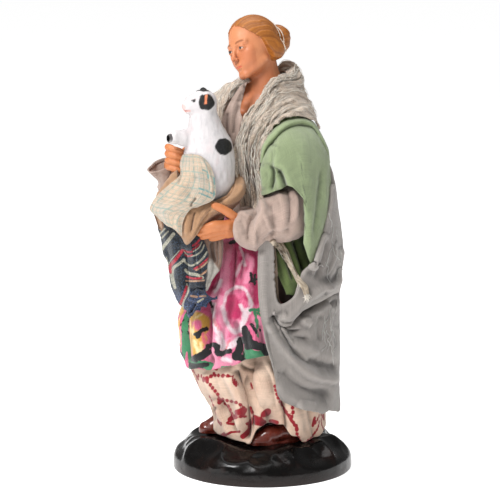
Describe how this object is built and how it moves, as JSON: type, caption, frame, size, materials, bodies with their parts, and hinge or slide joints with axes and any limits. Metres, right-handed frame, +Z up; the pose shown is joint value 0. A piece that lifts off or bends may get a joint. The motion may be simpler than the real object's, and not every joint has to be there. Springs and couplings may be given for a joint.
{
  "type": "presepe figure",
  "caption": "Standing woman of a nativity scene in sewn cloth dress, shawl and mantle, carrying a cat in a blanket, on a round moulded base.",
  "frame": {"origin": "middle of the base's underside", "axes": "+Z up through the crown, the figure faces -Y, and its left side is +X"},
  "size_m": [0.0654, 0.0724, 0.1621],
  "materials": {
    "moulded_ground": "glossy dark brown to black varnish over moulded composition",
    "shoe_paint": "reddish brown paint with a soft gloss on terracotta",
    "dotted_cotton": "cream cotton printed with dark red dots and petals",
    "floral_cotton": "cotton printed with pink roses, black and green leaves and yellow flowers",
    "beige_cotton": "matt pinkish beige cotton",
    "green_cotton": "matt sage green cotton",
    "cream_gauze": "open-weave cream and grey gauze",
    "grey_cotton": "matt light grey cotton",
    "tan_cotton": "matt tan cotton",
    "blue_weave": "coarse blue weave with cream and red stripes",
    "plaid_cotton": "cream cotton with teal checks",
    "cat_paint": "white and black brush paint on terracotta",
    "skin_paint": "warm skin paint on terracotta, hair golden brown",
    "pale_thread": "thin pale thread"
  },
  "bodies": {
    "root": {"base": "moulded_ground", "shoe_left": "shoe_paint", "shoe_right": "shoe_paint", "underskirt": "dotted_cotton", "skirt": "floral_cotton", "blouse": "beige_cotton", "jacket": "green_cotton", "shawl": "cream_gauze", "mantle": "grey_cotton", "waist_tie": "cream_gauze", "front_drape": "tan_cotton", "blue_cloth": "blue_weave", "blanket_tan": "tan_cotton", "blanket_plaid": "plaid_cotton", "cat": "cat_paint", "hand_left": "skin_paint", "hand_right": "skin_paint", "head": "skin_paint", "hair_tie": "pale_thread"}
  },
  "joints": []
}
